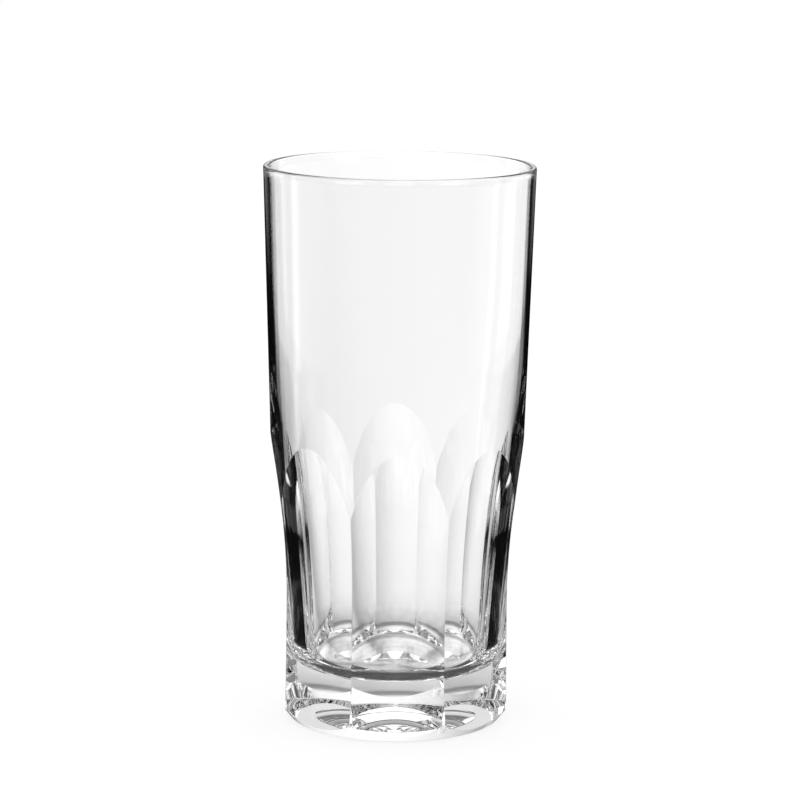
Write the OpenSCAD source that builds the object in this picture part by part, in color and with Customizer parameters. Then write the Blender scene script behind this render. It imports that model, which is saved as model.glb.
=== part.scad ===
// Tall straight-sided drinking glass, one piece of clear glass.
// A tapering round body with a fire-polished lip stands on a thick solid base.
// Flat panels are ground down its lower half. Each runs out at the top in a round arch,
// where the sweep of the grinding wheel leaves the body. The panels meet in sharp ridges.
// The origin is on the table under the middle of the foot, and +Z points up.

/* [Body] */
// Height from the table to the top of the lip
glass_h = 149; // [130:1:170]
// Width across the widest part of the lip
rim_d = 72; // [66:1:80]
// Lean of the side away from upright, in degrees
side_lean = 1.7; // [1:0.1:2.4]
// Thickness of the drinking wall
wall_t = 1.5; // [1.2:0.1:2.4]
// Swell of the fire-polished lip past each face of the wall
lip_swell = 0.03; // [0.02:0.01:0.2]

/* [Cut panels] */
// Number of flat panels round the body
panel_count = 8; // [6:1:10]
// Depth to which a panel is ground into the body at its waist
panel_depth = 3.3; // [2.6:0.1:3.8]
// Height up to which a panel runs straight
panel_straight_h = 33; // [26:1:40]
// Radius of the sweep in which a panel runs out to its arch
panel_sweep_r = 200; // [140:10:260]
// Lean of a panel's straight part, out towards the foot, in degrees
panel_flare = 0.5; // [0:0.1:1.5]

/* [Inside] */
// Thickness of the solid base, from the table to the floor of the well
floor_t = 14.7; // [11.5:0.1:20]
// Glass left between a panel and the well, at the floor
well_wall_t = 3.3; // [2.8:0.1:5]
// Radius of the corner between the well's floor and its side
well_corner_r = 8.5; // [4:0.5:12]
// Height at which the wall begins to thicken towards the base
thicken_h = 104; // [96:1:112]
// Radius of the sweep that eases the thin wall into the thick one
thicken_sweep_r = 650; // [400:10:800]

/* [Foot] */
// Height of the bevel round the foot
bevel_h = 4.2; // [3:0.1:6]
// Width of the bevel round the foot
bevel_w = 3.3; // [2.4:0.1:4.4]
// Radius that eases the two edges of the bevel
bevel_ease_r = 0.5; // [0.2:0.1:1.2]
// Width of the domed hollow under the base
punt_d = 29; // [20:1:40]
// Depth of the domed hollow under the base
punt_h = 2.4; // [1:0.1:4]

/* [Hidden] */

// Smoothness of round forms, and of the very wide sweeps
$fn = 180;
sweep_fn = 1440;

// One overrun for every cut that passes out through a face
over = 2;

// A hair's breadth by which a round passes the straight lines that it blends
hair = 0.001;

// Lip: a full round, a little fuller than the wall
lip_r = wall_t / 2 + lip_swell;
lip_x = rim_d / 2 - lip_r;
lip_z = glass_h - lip_r;

// Radius of the body's straight side at a height, and of the thin wall inside it
function body_r(z) = rim_d / 2 - lip_swell - (lip_z - z) * tan(side_lean);
function thin_r(z) = body_r(z) - wall_t;

// Bevel: its corners on the foot and on the side, its tilt, and the side's own
foot_corner = [body_r(0) - bevel_w, 0];
side_corner = [body_r(bevel_h), bevel_h];
bevel_tilt = atan2(bevel_h, side_corner.x - foot_corner.x);
side_tilt = 90 - side_lean;

// Steps of one unit along a line of a given tilt, and out of the glass at right angles to it
function along(tilt) = [cos(tilt), sin(tilt)];
function outward(tilt) = [sin(tilt), -cos(tilt)];

// Panel: distance of its plane from the axis at the top of its straight part
panel_x = body_r(panel_straight_h) - panel_depth;
panel_step = 360 / panel_count;

// Well: radius at the floor, before its corner is rounded, and lean of its lower side
well_r = panel_x - well_wall_t;
well_lean = atan((thin_r(thicken_h) - well_r) / (thicken_h - floor_t));

// Well corner: centre of the round that touches the floor and the lower side
well_corner_z = floor_t + well_corner_r;
well_corner_x = well_r + well_corner_r * tan(well_lean) - well_corner_r / cos(well_lean);

// Thickening: centre of the wide sweep that touches the thin wall and the lower side
sweep_turn = well_lean - side_lean;
sweep_run = thicken_sweep_r * tan(sweep_turn / 2);
sweep_low_x = thin_r(thicken_h) - sweep_run * sin(well_lean);
sweep_low_z = thicken_h - sweep_run * cos(well_lean);
sweep_high_x = thin_r(thicken_h) + sweep_run * sin(side_lean);
sweep_high_z = thicken_h + sweep_run * cos(side_lean);
sweep_x = sweep_low_x - thicken_sweep_r * cos(well_lean);
sweep_z = sweep_low_z + thicken_sweep_r * sin(well_lean);

// Punt: radius of the sphere that hollows the underside
punt_sphere_r = (punt_d * punt_d / 4 + punt_h * punt_h) / (2 * punt_h);

// Half of the body's section, solid, with its bevelled foot
module body_section() {
    difference() {
        polygon([
            [0, 0],
            foot_corner,
            side_corner,
            [body_r(lip_z), lip_z],
            [0, lip_z],
        ]);
        ease_waste(foot_corner, 0, bevel_tilt);
        ease_waste(side_corner, bevel_tilt, side_tilt);
    }
}

// What an eased edge takes off a corner of the section, where one tilt turns into the next
module ease_waste(corner, before, after) {
    cut = bevel_ease_r * tan((after - before) / 2);
    start = corner - cut * along(before);
    end = corner + cut * along(after);
    centre = start - bevel_ease_r * outward(before);
    difference() {
        polygon([
            centre,
            start,
            start + over * outward(before),
            corner + over * (outward(before) + outward(after)),
            end + over * outward(after),
            end,
        ]);
        translate(centre) circle(r = bevel_ease_r + hair);
    }
}

// Half of the well's section, from its floor up through the mouth
module well_section() {
    difference() {
        polygon([
            [0, floor_t],
            [well_r, floor_t],
            [thin_r(thicken_h), thicken_h],
            [thin_r(glass_h + over), glass_h + over],
            [0, glass_h + over],
        ]);
        well_corner_waste();
        thickening_waste();
    }
}

// What the well's rounded corner leaves standing
module well_corner_waste() {
    side_x = well_corner_x + well_corner_r * cos(well_lean);
    side_z = well_corner_z - well_corner_r * sin(well_lean);
    difference() {
        polygon([
            [well_corner_x, floor_t - over],
            [well_r + over, floor_t - over],
            [side_x + over, side_z],
            [side_x, side_z],
            [well_corner_x, well_corner_z],
        ]);
        translate([well_corner_x, well_corner_z]) circle(r = well_corner_r + hair);
    }
}

// What the wide sweep leaves standing where the wall thickens
module thickening_waste() {
    difference() {
        polygon([
            [sweep_low_x, sweep_low_z],
            [sweep_low_x + over, sweep_low_z],
            [sweep_high_x + over, sweep_high_z],
            [sweep_high_x, sweep_high_z],
        ]);
        translate([sweep_x, sweep_z]) circle(r = thicken_sweep_r + hair, $fn = sweep_fn);
    }
}

// Half of the section of the hollow under the base
module punt_section() {
    intersection() {
        translate([0, punt_h - punt_sphere_r]) circle(r = punt_sphere_r, $fn = sweep_fn);
        translate([0, -over]) square([punt_d, punt_h + over]);
    }
}

// The blank: round all over, before any panel is cut
module blank() {
    rotate_extrude() {
        difference() {
            body_section();
            well_section();
            punt_section();
        }
        translate([lip_x, lip_z]) circle(r = lip_r);
    }
}

// Sets a flat section upright at a panel's waist, leaning out to the foot, and runs it across the body
module across_waist() {
    rotate([90, 0, 0])
        linear_extrude(height = rim_d, center = true)
            translate([panel_x, panel_straight_h]) rotate(panel_flare) children();
}

// What the straight grind takes away for the panel on the +X side
module straight_grind() {
    reach = panel_straight_h / cos(panel_flare) + over;
    across_waist() translate([0, -reach]) square([rim_d, reach]);
}

// What the wheel takes away where the same panel sweeps out to its arch
module sweep_grind() {
    across_waist() translate([panel_sweep_r, 0]) circle(r = panel_sweep_r + hair, $fn = sweep_fn);
}

module tumbler() {
    color([0.88, 0.93, 0.94, 0.45])
        difference() {
            blank();
            for (i = [0 : panel_count - 1]) rotate([0, 0, i * panel_step]) straight_grind();
            for (i = [0 : panel_count - 1]) rotate([0, 0, i * panel_step]) sweep_grind();
        }
}

tumbler();
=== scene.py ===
# %% [markdown]
# A tall drinking glass with ground panels, standing on a white table.
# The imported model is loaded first, because the drawn glass takes its place and rides on
# its body. Its box is kept, so that the finished glass can be measured against it.

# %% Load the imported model
import math

import bpy
from mathutils import Matrix


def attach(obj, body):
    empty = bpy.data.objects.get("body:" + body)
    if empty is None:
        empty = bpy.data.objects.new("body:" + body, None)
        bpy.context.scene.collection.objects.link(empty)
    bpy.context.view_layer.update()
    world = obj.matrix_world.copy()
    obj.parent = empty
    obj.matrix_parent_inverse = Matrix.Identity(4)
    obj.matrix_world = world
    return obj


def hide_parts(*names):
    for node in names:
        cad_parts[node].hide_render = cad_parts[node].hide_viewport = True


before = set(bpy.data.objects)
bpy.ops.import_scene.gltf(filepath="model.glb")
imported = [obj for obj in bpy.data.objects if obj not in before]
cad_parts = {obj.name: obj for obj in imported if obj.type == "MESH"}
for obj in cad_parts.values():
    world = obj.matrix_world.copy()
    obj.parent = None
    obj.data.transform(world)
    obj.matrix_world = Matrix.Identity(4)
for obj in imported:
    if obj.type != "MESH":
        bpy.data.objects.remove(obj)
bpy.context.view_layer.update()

MM = 0.001

# %% [markdown]
# The blank is the glass as it leaves the mould, before any panel is ground: a round body
# that leans out a little, a bevel round the foot, and a lip rounded in the flame.
# It could be a curve that a modifier spins. Here its outline is worked out from a few
# sizes in millimetres, because the rows of the mesh have to follow the panels later on.

# %% Sizes of the blank
glass_height = 149.0
rim_radius = 36.0
side_lean = math.radians(1.7)
wall = 1.5
lip_swell = 0.03
lip_radius = wall / 2 + lip_swell
lip_x, lip_z = rim_radius - lip_radius, glass_height - lip_radius


def side_radius(z):
    """Radius of the straight outer side at a height."""
    return rim_radius - lip_swell - (lip_z - z) * math.tan(side_lean)


bevel_height, bevel_width, bevel_ease = 4.2, 3.3, 0.5
foot_corner = (side_radius(0) - bevel_width, 0.0)
side_corner = (side_radius(bevel_height), bevel_height)
bevel_tilt = math.atan2(bevel_height, side_corner[0] - foot_corner[0])
upright = math.radians(90) - side_lean
print("bevel leans", round(math.degrees(bevel_tilt), 1), "degrees")

# %% [markdown]
# The panels are flat below. Above the waist the grinding wheel leaves the glass in a wide
# sweep, and where that sweep runs out through the round side it leaves an arch. The arch
# could be drawn as a curve of its own, but then it would only be near the truth. Here the
# panel's depth, the wheel and the round side make it, as they do on the real glass.

# %% Sizes of the ground panels
panels = 8
panel_depth = 3.3
straight_height = 33.0
sweep = 200.0
panel_flare = math.radians(0.5)
panel_x = side_radius(straight_height) - panel_depth
sweep_x = panel_x + sweep * math.cos(panel_flare)
sweep_z = straight_height + sweep * math.sin(panel_flare)


def panel_distance(z):
    """Distance of a panel from the axis at a height: straight below, swept out above."""
    if z < straight_height:
        return panel_x + (straight_height - z) * math.tan(panel_flare)
    return sweep_x - math.sqrt(sweep**2 - (z - sweep_z) ** 2)


print("panel plane at the waist", round(panel_x, 2), "mm from the axis")

# %% [markdown]
# The well is what the plunger leaves inside. Its wall is thin at the top and thickens
# towards a heavy base, which carries the panels' depth and keeps the tall glass upright.
# Under the base a shallow dome keeps the middle off the table, so that it stands on a ring.
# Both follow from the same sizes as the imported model, so that the two agree.

# %% Sizes of the well and of the hollow under the base
floor_height = 14.7
well_wall = 3.3
well_corner = 8.5
thicken_height = 104.0
thicken_sweep = 650.0
punt_radius = 14.5
punt_height = 2.4
well_radius = panel_x - well_wall
thin_at_thickening = side_radius(thicken_height) - wall
well_lean = math.atan((thin_at_thickening - well_radius) / (thicken_height - floor_height))
punt_sphere = (punt_radius**2 + punt_height**2) / (2 * punt_height)
print("well leans", round(math.degrees(well_lean), 2), "degrees in its lower part")

# %% [markdown]
# The outline of the well is drawn once, from the lip down to the middle of its floor,
# as arcs and straight runs that touch each other. A few points and a modifier that rounds
# them would be quicker, but wouldn't hold a size. More points go where the line bends,
# because a bend in clear glass shows every flat.


# %% Outline of the well
LIP_STEPS, WALL_STEPS, THICKEN_STEPS, SIDE_STEPS, CORNER_STEPS, FLOOR_STEPS = 18, 20, 14, 20, 16, 12
POLE_GAP = 0.6


def arc(centre, radius, start, end, steps):
    """Points along an arc in the section plane, angles in degrees."""
    turns = [math.radians(start + (end - start) * i / steps) for i in range(steps + 1)]
    return [(centre[0] + radius * math.cos(t), centre[1] + radius * math.sin(t)) for t in turns]


def run(start, end, steps):
    """Points along a straight run, without its first point."""
    return [
        (start[0] + (end[0] - start[0]) * i / steps, start[1] + (end[1] - start[1]) * i / steps)
        for i in range(1, steps + 1)
    ]


lean_deg, well_deg = math.degrees(side_lean), math.degrees(well_lean)
lip_open = math.degrees(math.acos((wall / 2) / lip_radius))
lip_ends = (-lean_deg - lip_open, 180 - lean_deg + lip_open)
lip_arc = arc((lip_x, lip_z), lip_radius, *lip_ends, LIP_STEPS)

half_turn = thicken_sweep * math.tan((well_lean - side_lean) / 2)
high_x = thin_at_thickening + half_turn * math.sin(side_lean)
high_z = thicken_height + half_turn * math.cos(side_lean)
low_x = thin_at_thickening - half_turn * math.sin(well_lean)
low_z = thicken_height - half_turn * math.cos(well_lean)
thicken_x = low_x - thicken_sweep * math.cos(well_lean)
thicken_z = low_z + thicken_sweep * math.sin(well_lean)
corner_z = floor_height + well_corner
corner_x = well_radius + well_corner * math.tan(well_lean) - well_corner / math.cos(well_lean)

well_line = lip_arc[1:]
well_line += run(well_line[-1], (high_x, high_z), WALL_STEPS)
well_line += arc((thicken_x, thicken_z), thicken_sweep, -lean_deg, -well_deg, THICKEN_STEPS)[1:]
corner_arc = arc((corner_x, corner_z), well_corner, -well_deg, -90, CORNER_STEPS)
well_line += run(well_line[-1], corner_arc[0], SIDE_STEPS)
well_line += corner_arc[1:]
well_line += run(well_line[-1], (POLE_GAP, floor_height), FLOOR_STEPS)
print(len(well_line), "points from the lip to the middle of the well")

# %% [markdown]
# The underside is a flat ring that stands on the table and a shallow dome inside it.
# Where the two meet, the edge is eased a little, as a moulded edge is. The easing is part
# of the height's own formula, so that no modifier has to find that one edge again.


# %% Outline of the underside
DOME_EASE, DOME_STEPS = 0.15, 16
DOME_EDGE = (-0.8, -0.5, -0.3, -0.15, 0, 0.15, 0.3, 0.5, 0.8, 1.4)


def eased_most(a, b, ease):
    """The larger of two heights, with their crossing rounded off."""
    h = max(ease - abs(a - b), 0) / ease
    return max(a, b) + h**3 * ease / 6


def underside(radius):
    """Height of the underside at a distance from the axis."""
    dome = math.sqrt(max(punt_sphere**2 - radius**2, 0)) - (punt_sphere - punt_height)
    return eased_most(0, dome, DOME_EASE)


under_radii = [POLE_GAP] + [punt_radius * i / DOME_STEPS for i in range(1, DOME_STEPS - 1)]
under_radii += [punt_radius + d for d in DOME_EDGE]
under_line = [(r, underside(r)) for r in under_radii]
print("hollow is", round(underside(0), 2), "mm deep")

# %% [markdown]
# The outside runs from the foot up to the lip. Each panel's edge crosses it in a curve:
# low down where the panel leaves the bevel, and high up in the arch. The rows of the mesh
# are laid along those curves, column by column, so that an edge never cuts across a face.
# An even grid would need many more faces to show the edges as crisply.


# %% Outline of the blank's outside, and where a panel's edges cross it
def turning(corner, before, after):
    """The round at a corner: its start, centre, first direction, cut and length."""
    cut = bevel_ease * math.tan((after - before) / 2)
    start = (corner[0] - cut * math.cos(before), corner[1] - cut * math.sin(before))
    centre = (start[0] - bevel_ease * math.sin(before), start[1] + bevel_ease * math.cos(before))
    return start, centre, before, cut, bevel_ease * (after - before)


foot_turn = turning(foot_corner, 0.0, bevel_tilt)
side_turn = turning(side_corner, bevel_tilt, upright)
bevel_run = math.dist(foot_corner, side_corner) - foot_turn[3] - side_turn[3]
side_x = side_corner[0] + side_turn[3] * math.cos(upright)
side_z = side_corner[1] + side_turn[3] * math.sin(upright)
legs = (foot_turn[4], bevel_run, side_turn[4], (lip_arc[0][1] - side_z) / math.cos(side_lean))
marks = [sum(legs[:i]) for i in range(5)]
outer_run = marks[4]


def blank(s):
    """The point of the blank's outside at a distance from the foot along its outline."""
    if s < marks[1] or marks[2] < s < marks[3]:
        start, centre, before = (foot_turn if s < marks[1] else side_turn)[:3]
        t = before - math.pi / 2 + (s - (0 if s < marks[1] else marks[2])) / bevel_ease
        return centre[0] + bevel_ease * math.cos(t), centre[1] + bevel_ease * math.sin(t)
    if s <= marks[2]:
        d = s - marks[1] + foot_turn[3]
        return foot_corner[0] + d * math.cos(bevel_tilt), foot_corner[1] + d * math.sin(bevel_tilt)
    d = s - marks[3]
    return side_x + d * math.cos(upright), side_z + d * math.sin(upright)


BEND_ROWS = 4.0
paced = [0.0]
for i, leg in enumerate(legs):
    paced.append(paced[-1] + leg * (1 + BEND_ROWS / bevel_ease * (i in (0, 2))))


def pace_of(s):
    """Distance along the outline, stretched where it bends, so that bends get more rows."""
    i = max(k for k in range(4) if marks[k] <= s)
    return paced[i] + (s - marks[i]) * (paced[i + 1] - paced[i]) / legs[i]


def place_of(pace):
    """The other way round: distance along the outline from the stretched one."""
    i = max(k for k in range(4) if paced[k] <= pace)
    return marks[i] + (pace - paced[i]) * legs[i] / (paced[i + 1] - paced[i])


def proud(s, angle):
    """How far the blank stands out past the panel's plane, in the panel's direction."""
    r, z = blank(s)
    return r * math.cos(angle) - panel_distance(z)


HALVINGS = 50


def crossing(inside, outside, angle):
    """Where the blank's outline passes through the panel, by halving."""
    for _ in range(HALVINGS):
        middle = (inside + outside) / 2
        if proud(middle, angle) > 0:
            inside = middle
        else:
            outside = middle
    return (inside + outside) / 2


half_panel = math.pi / panels
waist_s = marks[3] + (straight_height - side_z) / math.cos(side_lean)
above_arches = marks[3] + 90.0
arch_top = blank(crossing(waist_s, above_arches, 0))[1]
arch_foot = blank(crossing(waist_s, above_arches, half_panel))[1]
print("arch from", round(arch_foot, 1), "up to", round(arch_top, 1), "mm")

# %% [markdown]
# Every edge on polished glass has a narrow rounded land, and that land is what shows as
# a bright or a dark line. The rows are packed close together across it, and stand wide
# apart elsewhere, which keeps the mesh light.

# %% Rows of one column
edge_ease = 0.04
ridge_ease = 0.18
EDGE_STEPS = (-1.6, -1, -0.6, -0.3, 0, 0.3, 0.6, 1, 1.6)
WIDEST_LAND, PROBE = 1.5, 0.01
FOOT_ROWS, STRAIGHT_ROWS, SWEEP_ROWS, ROUND_ROWS = 22, 14, 26, 30


def spread(start, end, steps):
    """Even stations between two others, without the first and the last."""
    return [start + (end - start) * i / steps for i in range(1, steps)]


def edge_rows(s, angle):
    """Stations across an edge, as wide as its land."""
    steepness = abs(proud(s + PROBE, angle) - proud(s - PROBE, angle)) / (2 * PROBE)
    reach = min(edge_ease / steepness, WIDEST_LAND)
    return [s + step * reach for step in EDGE_STEPS]


def outer_rows(angle):
    """The points of one column of the blank's outside, from the foot up to the lip."""
    low_edge = edge_rows(crossing(waist_s, 0, angle), angle)
    arch_edge = edge_rows(crossing(waist_s, above_arches, angle), angle)
    rows = [0.0] + [place_of(p) for p in spread(0, pace_of(low_edge[0]), FOOT_ROWS)] + low_edge
    rows += spread(low_edge[-1], waist_s, STRAIGHT_ROWS) + [waist_s]
    rows += spread(waist_s, arch_edge[0], SWEEP_ROWS) + arch_edge
    rows += spread(arch_edge[-1], outer_run, ROUND_ROWS) + [outer_run]
    return [blank(s) for s in rows]


print(len(outer_rows(0.0)), "rows up the outside")

# %% [markdown]
# One stave is an eighth of the glass, as wide as one panel. Here it is still an eighth
# of the round blank. Its outside, lip, well and underside are one sheet of faces, bent
# round the glass, and its two long edges meet those of its neighbours. The whole glass
# could be laid out at once, but from one stave every panel comes out the same.

# %% One stave of the blank
land_steps = [0, 0.06, 0.12, 0.18, 0.24, 0.34, 0.5]
ridge_radius = 31.8
near_ridge = [half_panel - d / ridge_radius for d in land_steps]
inner_columns = 24
even = [near_ridge[-1] * (1 - 2 * i / inner_columns) for i in range(1, inner_columns)]
columns = near_ridge + even + [-a for a in reversed(near_ridge)]


def stave_column(angle):
    """One column of points, in metres: underside, outside, lip and well."""
    line = under_line + outer_rows(angle) + well_line
    return [(r * MM * math.cos(angle), r * MM * math.sin(angle), z * MM) for r, z in line]


points = [p for angle in columns for p in stave_column(angle)]
row_count = len(points) // len(columns)
faces = []
for c in range(len(columns) - 1):
    for r in range(row_count - 1):
        a, b = c * row_count + r, (c + 1) * row_count + r
        faces.append((a, a + 1, b + 1, b))
under_pole, well_pole = len(points), len(points) + 1
points += [(0, 0, underside(0) * MM), (0, 0, floor_height * MM)]
for c in range(len(columns) - 1):
    a, b = c * row_count, (c + 1) * row_count
    faces += [(under_pole, a, b), (well_pole, b + row_count - 1, a + row_count - 1)]

stave = bpy.data.meshes.new("stave")
stave.from_pydata(points, [], faces)
stave.update()
first, last = len(under_line), len(under_line) + len(outer_rows(0.0))
on_outside = stave.attributes.new("ground", "BOOLEAN", "POINT")
flags = [first <= i % row_count < last for i in range(under_pole)] + [False, False]
on_outside.data.foreach_set("value", flags)
print(len(points), "points and", len(faces), "faces in one stave")

# %% [markdown]
# The materials and the wheel are both laid out as nodes. Each node could be made and
# joined line by line, but a few short hands keep what follows readable.


# %% Short hands for laying out nodes
class Desk:
    """Adds nodes to a tree and joins them up."""

    def __init__(self, tree):
        self.tree = tree

    def node(self, kind, **settings):
        made = self.tree.nodes.new(kind)
        for key, value in settings.items():
            setattr(made, key, value)
        return made

    def join(self, source, target):
        self.tree.links.new(source, target)

    def math(self, operation, *values):
        made = self.node("ShaderNodeMath", operation=operation)
        for socket, value in zip(made.inputs, values):
            if isinstance(value, (int, float)):
                socket.default_value = value
            else:
                self.join(value, socket)
        return made.outputs[0]

    def ramp(self, source, stops):
        """A level along a source from 0 to 1; it holds before the first and after the last stop."""
        made = self.node("ShaderNodeValToRGB")
        line = made.color_ramp
        while len(line.elements) < len(stops):
            line.elements.new(0.5)
        for element, (at, level) in zip(line.elements, stops):
            element.position = at
            element.color = (level, level, level, 1)
        self.join(source, made.inputs[0])
        return made.outputs[0]


def empty_desk(owner):
    """A clean node tree for a material or for the world."""
    owner.use_nodes = True
    owner.node_tree.nodes.clear()
    return Desk(owner.node_tree)


# %% [markdown]
# Clear polished glass lets light through, bends it, and mirrors at a glancing angle.
# The dark outline of clear glass is painted shade: the glass's colour darkens where a
# surface is turned edge-on. A body that soaks up light would darken the edges too, but would
# darken the thick base as well. So one node says how much a surface is turned edge-on, and
# a ramp turns that into painted shade in the glass's colour.

# %% The glass: clear body and painted dark outline
polished = bpy.data.materials.new("polished_crystal")
g = empty_desk(polished)
surface = g.node("ShaderNodeBsdfPrincipled")
surface.inputs["Transmission Weight"].default_value = 1.0
surface.inputs["IOR"].default_value = 1.52
edge_on = g.node("ShaderNodeLayerWeight")
edge_on.inputs["Blend"].default_value = 0.5
# Painted shade: the glass's colour goes dark where its surface is turned edge-on, which draws the
# dark outline.
PAINTED_EDGE_SHADE = [(0.0, 1.0), (0.8, 1.0), (0.9, 0.6), (0.97, 0.15), (1.0, 0.03)]
g.join(g.ramp(edge_on.outputs["Facing"], PAINTED_EDGE_SHADE), surface.inputs["Base Color"])
glass_out = g.node("ShaderNodeOutputMaterial")
g.join(surface.outputs["BSDF"], glass_out.inputs["Surface"])
print("made", polished.name, "with a tint of", len(PAINTED_EDGE_SHADE), "stops")

# %% [markdown]
# No polished surface is perfect. The felt wheel leaves a slow waviness, far shallower
# than a hair, which makes reflections swim a little. A slow noise raises the surface by it.
# The wear is on the foot: the ring that meets the table is rubbed slightly dull in patches,
# so roughness grows over the last fraction of a millimetre above the table.

# %% The glass: waviness and wear
WAVE_LENGTH, WAVE_HEIGHT = 16 * MM, 0.03 * MM
spot = g.node("ShaderNodeTexCoord").outputs["Object"]
waves = g.node("ShaderNodeTexNoise", noise_dimensions="3D")
waves.inputs["Scale"].default_value = 1 / WAVE_LENGTH
waves.inputs["Detail"].default_value = 1.0
g.join(spot, waves.inputs["Vector"])
swim = g.node("ShaderNodeBump")
swim.inputs["Distance"].default_value = WAVE_HEIGHT
g.join(waves.outputs[0], swim.inputs["Height"])
g.join(swim.outputs[0], surface.inputs["Normal"])

RUBBED_HEIGHT, RUBBED, CLEAN = 0.4 * MM, 0.06, 0.004
height = g.node("ShaderNodeSeparateXYZ")
g.join(spot, height.inputs[0])
low = g.ramp(g.math("DIVIDE", height.outputs["Z"], RUBBED_HEIGHT), [(0.0, 1.0), (1.0, 0.0)])
RUB_WIDTH = 2.5 * MM
RUB_PATCHES = [(0.42, 0.25), (0.6, 1.0)]
rubs = g.node("ShaderNodeTexNoise", noise_dimensions="3D")
rubs.inputs["Scale"].default_value = 1 / RUB_WIDTH
g.join(spot, rubs.inputs["Vector"])
patches = g.ramp(rubs.outputs[0], RUB_PATCHES)
worn = g.math("MULTIPLY", g.math("MULTIPLY", low, patches), RUBBED)
g.join(g.math("ADD", worn, CLEAN), surface.inputs["Roughness"])
print("waves", round(WAVE_LENGTH / MM, 1), "mm long,", round(WAVE_HEIGHT / MM, 3), "mm high")

# %% [markdown]
# The grinding wheel. It could be a cutter that is taken away from the glass, but that
# leaves long thin faces, which show in clear glass. So a tree of nodes takes the stave of
# the blank and moves each point of its outside in to the panel's surface, wherever the
# blank stands proud of it. Nothing is left to chance: every panel is the same, as a cutter
# sets them out with a divided ring. Its sizes are named inputs, so another glass of the
# family is a matter of other numbers.


# %% Geometry nodes that grind the panels: what they are given
tree = Desk(bpy.data.node_groups.new("grind_panels", "GeometryNodeTree"))
for way in ("INPUT", "OUTPUT"):
    tree.tree.interface.new_socket(name="Geometry", in_out=way, socket_type="NodeSocketGeometry")


def size(name, kind="NodeSocketFloat"):
    """A named size that the tree takes in; what comes back is its identifier."""
    return tree.tree.interface.new_socket(name=name, in_out="INPUT", socket_type=kind).identifier


sizes = {
    "Panels": (size("Panels", "NodeSocketInt"), panels),
    "Waist distance": (size("Waist distance"), panel_x * MM),
    "Straight height": (size("Straight height"), straight_height * MM),
    "Flare": (size("Flare"), panel_flare),
    "Sweep radius": (size("Sweep radius"), sweep * MM),
    "Ridge land": (size("Ridge land"), ridge_ease * MM),
    "Edge land": (size("Edge land"), edge_ease * MM),
    "Glass": (size("Glass", "NodeSocketMaterial"), polished),
}
entry = tree.node("NodeGroupInput").outputs
m = tree.math

place = tree.node("GeometryNodeInputPosition").outputs[0]
split = tree.node("ShaderNodeSeparateXYZ")
tree.join(place, split.inputs[0])
x, y, z = split.outputs
radius = m("SQRT", m("ADD", m("MULTIPLY", x, x), m("MULTIPLY", y, y)))
angle = m("ABSOLUTE", m("ARCTAN2", y, x))
print(len(tree.tree.nodes), "nodes so far")

# %% [markdown]
# How far a panel is from the axis depends on height alone: a straight line that leans
# out to the foot, and above the waist a circle as wide as the wheel's sweep.

# %% The panel's distance from the axis, as nodes
waist, straight = entry["Waist distance"], entry["Straight height"]
flare, wheel = entry["Flare"], entry["Sweep radius"]
centre_x = m("ADD", waist, m("MULTIPLY", wheel, m("COSINE", flare)))
centre_z = m("ADD", straight, m("MULTIPLY", wheel, m("SINE", flare)))
rise = m("SUBTRACT", z, centre_z)
run_in = m("SQRT", m("SUBTRACT", m("MULTIPLY", wheel, wheel), m("MULTIPLY", rise, rise)))
swept = m("SUBTRACT", centre_x, run_in)
straight_cut = m("ADD", waist, m("MULTIPLY", m("SUBTRACT", straight, z), m("TANGENT", flare)))
above = m("GREATER_THAN", z, straight)
plane = m("ADD", m("MULTIPLY", above, swept), m("MULTIPLY", m("SUBTRACT", 1, above), straight_cut))
print(len(tree.tree.nodes), "nodes with the panel's surface")

# %% [markdown]
# The glass that is left is the least of three: the blank, this panel and its neighbour.
# A smooth minimum takes it, and its smoothness is the narrow land along ridge and arch.

# %% The cut: this panel, its neighbour, and the blank
step = m("DIVIDE", 2 * math.pi, entry["Panels"])
own = m("DIVIDE", plane, m("COSINE", angle))
neighbour = m("DIVIDE", plane, m("COSINE", m("SUBTRACT", step, angle)))
ring_of_flats = m("SMOOTH_MIN", own, neighbour, entry["Ridge land"])
ground = m("SMOOTH_MIN", radius, ring_of_flats, entry["Edge land"])
share = m("DIVIDE", ground, radius)
moved = tree.node("ShaderNodeCombineXYZ")
for socket, value in zip(moved.inputs, (m("MULTIPLY", x, share), m("MULTIPLY", y, share), z)):
    tree.join(value, socket)
chosen = tree.node("GeometryNodeInputNamedAttribute", data_type="BOOLEAN")
chosen.inputs["Name"].default_value = "ground"
grind = tree.node("GeometryNodeSetPosition")
tree.join(entry["Geometry"], grind.inputs["Geometry"])
tree.join(chosen.outputs["Attribute"], grind.inputs["Selection"])
tree.join(moved.outputs[0], grind.inputs["Position"])
print(len(tree.tree.nodes), "nodes with the cut")

# %% [markdown]
# The ground stave is set round the axis once for every panel. The copies are made real,
# the seams between them are closed, and the glass is given its material.

# %% The ring of staves
ring = tree.node("GeometryNodeDuplicateElements", domain="INSTANCE")
as_instance = tree.node("GeometryNodeGeometryToInstance")
tree.join(grind.outputs[0], as_instance.inputs[0])
tree.join(as_instance.outputs[0], ring.inputs["Geometry"])
tree.join(entry["Panels"], ring.inputs["Amount"])
turn = tree.node("ShaderNodeCombineXYZ")
tree.join(m("MULTIPLY", ring.outputs["Duplicate Index"], step), turn.inputs["Z"])
turned = tree.node("GeometryNodeRotateInstances")
tree.join(ring.outputs["Geometry"], turned.inputs["Instances"])
tree.join(turn.outputs[0], turned.inputs["Rotation"])
real = tree.node("GeometryNodeRealizeInstances")
tree.join(turned.outputs[0], real.inputs[0])
SEAM_GAP = 0.002 * MM
closed = tree.node("GeometryNodeMergeByDistance")
closed.inputs["Distance"].default_value = SEAM_GAP
tree.join(real.outputs[0], closed.inputs["Geometry"])
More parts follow.
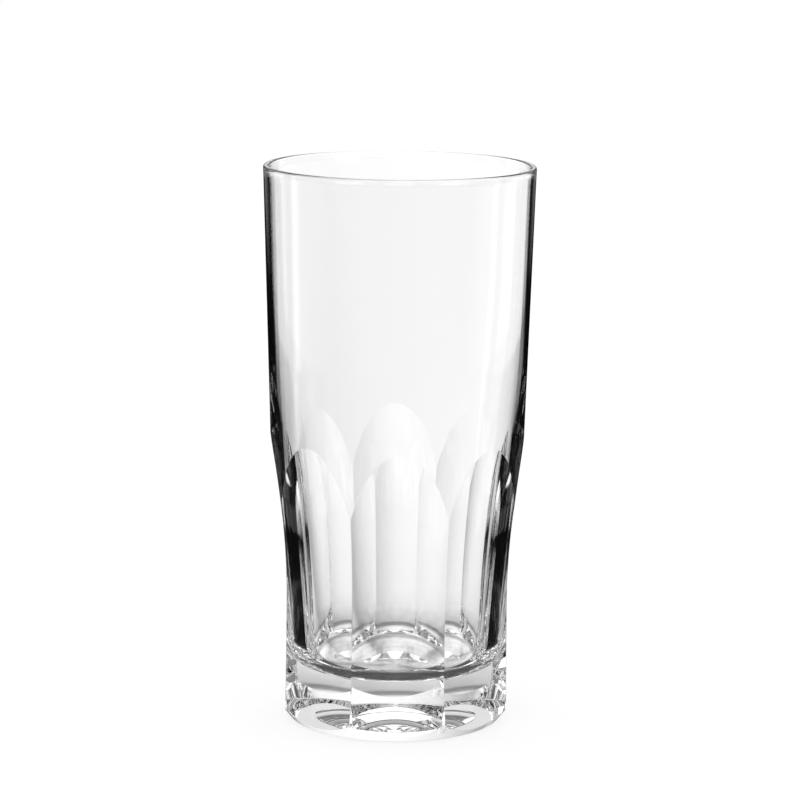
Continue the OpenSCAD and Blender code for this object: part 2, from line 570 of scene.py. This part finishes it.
smooth = tree.node("GeometryNodeSetShadeSmooth")
tree.join(closed.outputs[0], smooth.inputs["Geometry"])
finish = tree.node("GeometryNodeSetMaterial")
tree.join(smooth.outputs[0], finish.inputs["Geometry"])
tree.join(entry["Glass"], finish.inputs["Material"])
exit_node = tree.node("NodeGroupOutput")
tree.join(finish.outputs[0], exit_node.inputs[0])
print(len(tree.tree.nodes), "nodes in the tree")

# %% [markdown]
# The tree is run once, and what it makes is kept as a plain mesh without a modifier, so
# that the glass weighs the same wherever it is used. Its loose edges are counted.

# %% Run the tree and keep its result as a plain mesh
blank_stave = bpy.data.objects.new("blank_stave", stave)
bpy.context.scene.collection.objects.link(blank_stave)
wheelwork = blank_stave.modifiers.new("grind_panels", "NODES")
wheelwork.node_group = tree.tree
for identifier, value in sizes.values():
    wheelwork[identifier] = value
evaluated = blank_stave.evaluated_get(bpy.context.evaluated_depsgraph_get())
glass_mesh = bpy.data.meshes.new_from_object(evaluated)
blank_stave.modifiers.remove(wheelwork)
bpy.data.objects.remove(blank_stave)
glass_mesh.name = "cut_glass"
glass = bpy.data.objects.new("cut_glass", glass_mesh)
bpy.context.scene.collection.objects.link(glass)
loose = [e for e in glass_mesh.edges if e.is_loose]
counts = len(glass_mesh.vertices), len(glass_mesh.polygons), len(loose)
print("%d points, %d faces, %d loose edges" % counts)

# %% [markdown]
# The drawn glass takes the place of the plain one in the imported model. It rides on the
# model's one body, since nothing on a drinking glass moves.

# %% Hang the glass on the model
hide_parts("tumbler")
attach(glass, "root")
print("hung", glass.name, "on the body root")

# %% [markdown]
# The glass stands on a white table inside a white tent with a lit wall on each of its
# four sides. A few lamps would only leave spots on it, because clear glass shows what lies
# behind it. For the same reason the walls aren't evenly lit: each is bright on the right
# and fades to the left, and that is what draws the panels' edges.


# %% Light by the way round
def way_round(desk, x, y, times, stops):
    """A level by the way round the glass, repeated some times; stops in degrees."""
    heading = desk.math("ARCTAN2", x, y)
    share = desk.math("MULTIPLY_ADD", heading, times / (2 * math.pi), times + 0.5)
    stations = [(0.5 + at * times / 360, level) for at, level in stops]
    return desk.ramp(desk.math("FRACT", share), stations)


WALL_TOP = 1.13
WALL = [(-45, 0.90), (-38, 0.78), (-34, 0.48), (-29, 0.48), (-22.5, 0.60), (-15, 0.72)]
WALL += [(-7.5, 0.83), (0, 0.92), (9, 0.97), (20, 0.98), (30, 0.97), (45, 0.90)]


def tent_light(desk, x, y):
    """The lit walls as they show through the glass."""
    return desk.math("MULTIPLY", way_round(desk, x, y, 4, WALL), WALL_TOP)


wall_levels = [round(WALL_TOP * level, 2) for _, level in WALL]
print("walls fade from", max(wall_levels), "to", min(wall_levels))

# %% [markdown]
# Light that is mirrored inside the glass comes from elsewhere: from the dark room beyond
# the tent, with tall strips of light in it, and from two white sheets that lie on the
# table to the left and the right, with a bright gap in the left one. Black beside white
# gives cut glass its sparkle. Real sheets would show beside the glass, so they are levels
# of light only. A node that counts mirrorings tells this light from the tent's.


# %% What mirrored light sees
def mirrored_share(desk):
    """Whether light was mirrored on its way, and whether the camera sees it straight."""
    path = desk.node("ShaderNodeLightPath").outputs
    return desk.math("GREATER_THAN", path["Glossy Depth"], 0.5), path["Is Camera Ray"]


def blend(desk, share, one, other):
    """One level where the share is one, and another where it is nought."""
    rest = desk.math("SUBTRACT", 1.0, share)
    return desk.math("ADD", desk.math("MULTIPLY", share, one), desk.math("MULTIPLY", rest, other))


SIDES_TOP = 1.5
SIDES = [(-112, 0.0), (-100, 0.2), (-84, 0.3), (-81, 1.0), (-77, 1.0), (-75, 0.2)]
SIDES += [(-67, 0.17), (-65, 0.6), (-47, 0.6), (-42, 0.0), (-27, 0.0), (-22, 0.1), (22, 0.1)]
SIDES += [(27, 0.0), (37, 0.0), (43, 0.6), (46, 0.67), (66, 0.67), (80, 0.4), (90, 0.2)]
SIDES += [(106, 0.15), (112, 0.0)]


def side_sheets(desk, x, y):
    """The two white sheets beside the glass."""
    return desk.math("MULTIPLY", way_round(desk, x, y, 1, SIDES), SIDES_TOP)


print("sheets in", len(SIDES), "stops, up to", SIDES_TOP)

# %% [markdown]
# The table is one flat round sheet, wide enough that its edge is far behind the glass.
# It lies a hair below the foot, because two faces in one plane would flicker.

# %% The table's sheet
floor_mesh = bpy.data.meshes.new("table_top")
reach, drop, corners = 2.0, -0.05 * MM, 120
turns = [2 * math.pi * i / corners for i in range(corners)]
rim = [(reach * math.cos(t), reach * math.sin(t), drop) for t in turns]
floor_mesh.from_pydata(rim, [], [tuple(range(len(rim)))])
floor = bpy.data.objects.new("table_top", floor_mesh)
bpy.context.scene.collection.objects.link(floor)
print("table reaches", reach, "m")

# %% [markdown]
# Through the glass the table shows as rings of light round the foot. Close to it the sheet
# lies in the glass's own shade, with bright rings where the thick base gathers light, and
# further off it is as bright as the tent. Light could find these rings by itself, but it
# would take very long to settle, so they are given as levels by the distance.

# %% How bright the table is through the glass
NEAR_REACH, NEAR_TOP = 0.6, 1.5
RINGS = [(0, 0.60), (12, 0.60), (16, 0.85), (19, 0.70), (22, 1.2), (26, 1.5), (28.5, 0.5)]
RINGS += [(30.5, 0.5), (32.5, 1.1), (35, 0.9), (37, 0.15), (40, 0.05), (41.5, 0.45), (50, 0.60)]
RINGS += [(60, 0.70), (72, 0.80), (90, 0.88), (110, 0.94), (160, 0.975), (200, 1.0)]
SHEET_WHITE, SHEET_GLOW = 0.25, 0.80
white = bpy.data.materials.new("white_table")
w = empty_desk(white)
where = w.node("ShaderNodeSeparateXYZ")
w.join(w.node("ShaderNodeTexCoord").outputs["Object"], where.inputs[0])
tx, ty, _ = where.outputs
away = w.math("SQRT", w.math("ADD", w.math("MULTIPLY", tx, tx), w.math("MULTIPLY", ty, ty)))
away = w.math("DIVIDE", away, NEAR_REACH)
rings = w.ramp(away, [(at * MM / NEAR_REACH, level / NEAR_TOP) for at, level in RINGS])
rings = w.math("MULTIPLY", rings, NEAR_TOP)
through = w.math("MULTIPLY", rings, w.math("SUBTRACT", tent_light(w, tx, ty), 1 - SHEET_GLOW))
print("table shaded within", RINGS[-1][0], "mm of the glass")

# %% [markdown]
# To the camera the table is the same white as the background: a part of it is its own
# glow, and the rest is light from the tent on a matt sheet, so that the glass still leaves
# a soft shadow. Mirrored light finds the dark room's table instead. It is nearly black,
# but for a little light under the foot and the two sheets, which begin well to the left
# and right of the glass.

# %% The table's white
FAR = [(315, 0.0), (335, 1.0)]
UNDER = [(27, 0.08), (30, 0.25), (34, 0.5), (38, 0.5), (42, 0.04), (60, 0.004)]
mirrored, seen_straight = mirrored_share(w)
matt = w.node("ShaderNodeBsdfDiffuse")
matt.inputs["Color"].default_value = (SHEET_WHITE, SHEET_WHITE, SHEET_WHITE, 1)
glow = w.node("ShaderNodeEmission")
w.join(blend(w, seen_straight, SHEET_GLOW, through), glow.inputs["Strength"])
sheet = w.node("ShaderNodeAddShader")
w.join(matt.outputs[0], sheet.inputs[0])
w.join(glow.outputs[0], sheet.inputs[1])
dark = w.node("ShaderNodeEmission")
aside = w.math("DIVIDE", w.math("ABSOLUTE", tx), NEAR_REACH)
far = w.ramp(aside, [(at * MM / NEAR_REACH, level) for at, level in FAR])
sheets = w.math("MULTIPLY", far, side_sheets(w, tx, ty))
under = w.ramp(away, [(at * MM / NEAR_REACH, level) for at, level in UNDER])
w.join(w.math("ADD", sheets, under), dark.inputs["Strength"])
either = w.node("ShaderNodeMixShader")
for source, target in zip((mirrored, sheet.outputs[0], dark.outputs[0]), either.inputs):
    w.join(source, target)
table_out = w.node("ShaderNodeOutputMaterial")
w.join(either.outputs[0], table_out.inputs["Surface"])
floor_mesh.materials.append(white)
print("side sheets begin", FAR[0][0], "mm from the middle of the glass")

# %% [markdown]
# The air round the table. Seen straight on it is plain white. Through the glass it is the
# tent. Mirrored, it is the dark room: black below, a bright band just above the table's
# edge, a faint ceiling and eight tall strips, all of it dimmer beside the glass. The two
# sheets reach on as far as the horizon.

# %% The tent and the room beyond it
ROOM = [(-3.4, 0.0), (-1.1, 0.03), (3.4, 0.1), (8, 0.3), (11.5, 0.8)]
ROOM += [(23.6, 0.8), (31.3, 0.2), (53, 0.2), (64, 0.5)]
BESIDE = [(-115, 1.0), (-105, 0.15), (-70, 0.15), (-60, 1.0)]
BESIDE += [(60, 1.0), (70, 0.15), (105, 0.15), (115, 1.0)]
STRIPS = [(-13.3, 0.0), (-12.1, 1.0), (12.1, 1.0), (13.3, 0.0)]
SHEET_EDGE = [(1, 1.0), (3, 0.0)]
STRIP_FOOT = [(2, 0.0), (4, 0.9)]


def by_height(desk, z, stops):
    """A level by the height above the horizon; stops in degrees."""
    share = desk.math("MULTIPLY_ADD", z, 0.5, 0.5)
    return desk.ramp(share, [(0.5 + math.sin(math.radians(at)) / 2, level) for at, level in stops])


world = bpy.data.worlds.new("light_tent")
bpy.context.scene.world = world
w = empty_desk(world)
direction = w.node("ShaderNodeSeparateXYZ")
w.join(w.node("ShaderNodeTexCoord").outputs["Generated"], direction.inputs[0])
dx, dy, dz = direction.outputs
strips = w.math("MULTIPLY", way_round(w, dx, dy, panels, STRIPS), by_height(w, dz, STRIP_FOOT))
sheets = w.math("MULTIPLY", side_sheets(w, dx, dy), by_height(w, dz, SHEET_EDGE))
lights = w.math("ADD", by_height(w, dz, ROOM), strips)
open_room = w.math("MULTIPLY", lights, way_round(w, dx, dy, 1, BESIDE))
room = w.math("ADD", open_room, sheets)
mirrored, seen_straight = mirrored_share(w)
level = w.math("MAXIMUM", seen_straight, blend(w, mirrored, room, tent_light(w, dx, dy)))
background = w.node("ShaderNodeBackground")
background.inputs["Color"].default_value = (1, 1, 1, 1)
w.join(level, background.inputs["Strength"])
world_out = w.node("ShaderNodeOutputWorld")
w.join(background.outputs[0], world_out.inputs["Surface"])
print("tent and room in", len(world.node_tree.nodes), "nodes")

# %% [markdown]
# The camera stands higher than the rim and looks down at the glass through a long lens,
# so that the sides run nearly parallel and the rim opens to a narrow ellipse. Light needs
# many turns inside thick glass, so it is followed further than usual.

# %% Camera
PICTURE, FOCUS, SENSOR = 800, 3163.2, 36
AWAY, ASIDE, UP = 828.68 * MM, 0.623 * MM, 240.30 * MM
ROUND, DOWN, TILT = math.radians(-1.548), math.radians(10.542), math.radians(0.592)
BOUNCES = 24
camera_data = bpy.data.cameras.new("camera")
camera_data.sensor_width = SENSOR
camera_data.lens = FOCUS / PICTURE * SENSOR
camera_data.clip_end = 20
camera = bpy.data.objects.new("camera", camera_data)
bpy.context.scene.collection.objects.link(camera)
camera.matrix_world = (
    Matrix.Rotation(ROUND, 4, "Z")
    @ Matrix.Translation((ASIDE, -AWAY, UP))
    @ Matrix.Rotation(math.pi / 2 - DOWN, 4, "X")
    @ Matrix.Rotation(TILT, 4, "Z")
)
bpy.context.scene.camera = camera
bpy.context.scene.view_settings.view_transform = "Standard"
cycles = bpy.context.scene.cycles
cycles.max_bounces = BOUNCES
cycles.transmission_bounces = BOUNCES
cycles.glossy_bounces = BOUNCES
print("camera", round(camera.matrix_world.translation.length, 3), "m from the foot of the glass")
